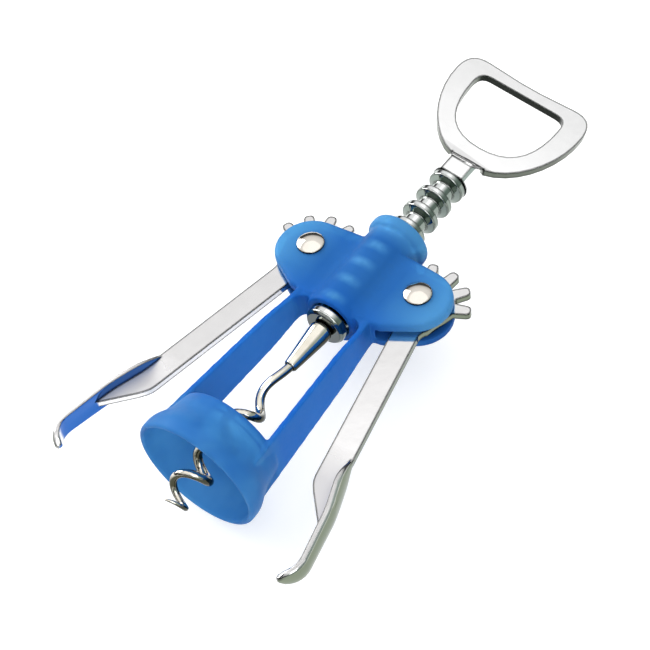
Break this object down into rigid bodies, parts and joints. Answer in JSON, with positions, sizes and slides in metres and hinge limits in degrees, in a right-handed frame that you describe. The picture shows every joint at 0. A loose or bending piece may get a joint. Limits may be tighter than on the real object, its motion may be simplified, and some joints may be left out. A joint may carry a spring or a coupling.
{
  "type": "lever corkscrew",
  "caption": "Double-lever corkscrew: plastic frame with a bell, toothed levers geared to a ringed rack, and a turning handle with a wire screw and a cap-lifter opening.",
  "frame": {"origin": "centre of the bell's mouth plane, on the screw axis", "axes": "+Y along the screw axis from the bell towards the handle, +Z out of the front face with the domed rivet heads, +X towards the right lever"},
  "size_m": [0.0898, 0.19, 0.04],
  "materials": {
    "blue_plastic": "frosted, slightly see-through injection moulding",
    "chrome_plate": "bright chrome plate",
    "nickel_plate": "bright nickel plate, slightly warm",
    "plain_steel": "plain turned steel"
  },
  "bodies": {
    "frame_unit": {"frame": "blue_plastic", "left_rivet": "nickel_plate", "right_rivet": "nickel_plate", "left_rivet_cap": "nickel_plate", "right_rivet_cap": "nickel_plate"},
    "rack_unit": {"rack": "chrome_plate"},
    "turning_unit": {"handle": "chrome_plate", "spindle": "plain_steel", "ferrule": "nickel_plate", "worm": "nickel_plate"},
    "right_lever_unit": {"right_lever": "chrome_plate"},
    "left_lever_unit": {"left_lever": "chrome_plate"}
  },
  "joints": [
    {"name": "rack_slide", "type": "slide", "parent": "frame_unit", "child": "rack_unit", "axis": [0, 1, 0], "range_m": [-0.035, 0]},
    {"name": "handle_spin", "type": "hinge", "parent": "rack_unit", "child": "turning_unit", "pos_m": [0, 0.13, 0], "axis": [0, 1, 0], "continuous": true},
    {"name": "right_lever_hinge", "type": "hinge", "parent": "frame_unit", "child": "right_lever_unit", "pos_m": [0.01965, 0.0819, 0], "axis": [0, 0, 1], "range_deg": [0, 136.5]},
    {"name": "left_lever_hinge", "type": "hinge", "parent": "frame_unit", "child": "left_lever_unit", "pos_m": [-0.01965, 0.0819, 0], "axis": [0, 0, 1], "range_deg": [-136.5, 0]}
  ],
  "couplings": [
    {"joint": "right_lever_hinge", "follows": "rack_slide", "rad_per_m": -68.027},
    {"joint": "left_lever_hinge", "follows": "rack_slide", "rad_per_m": 68.027}
  ]
}
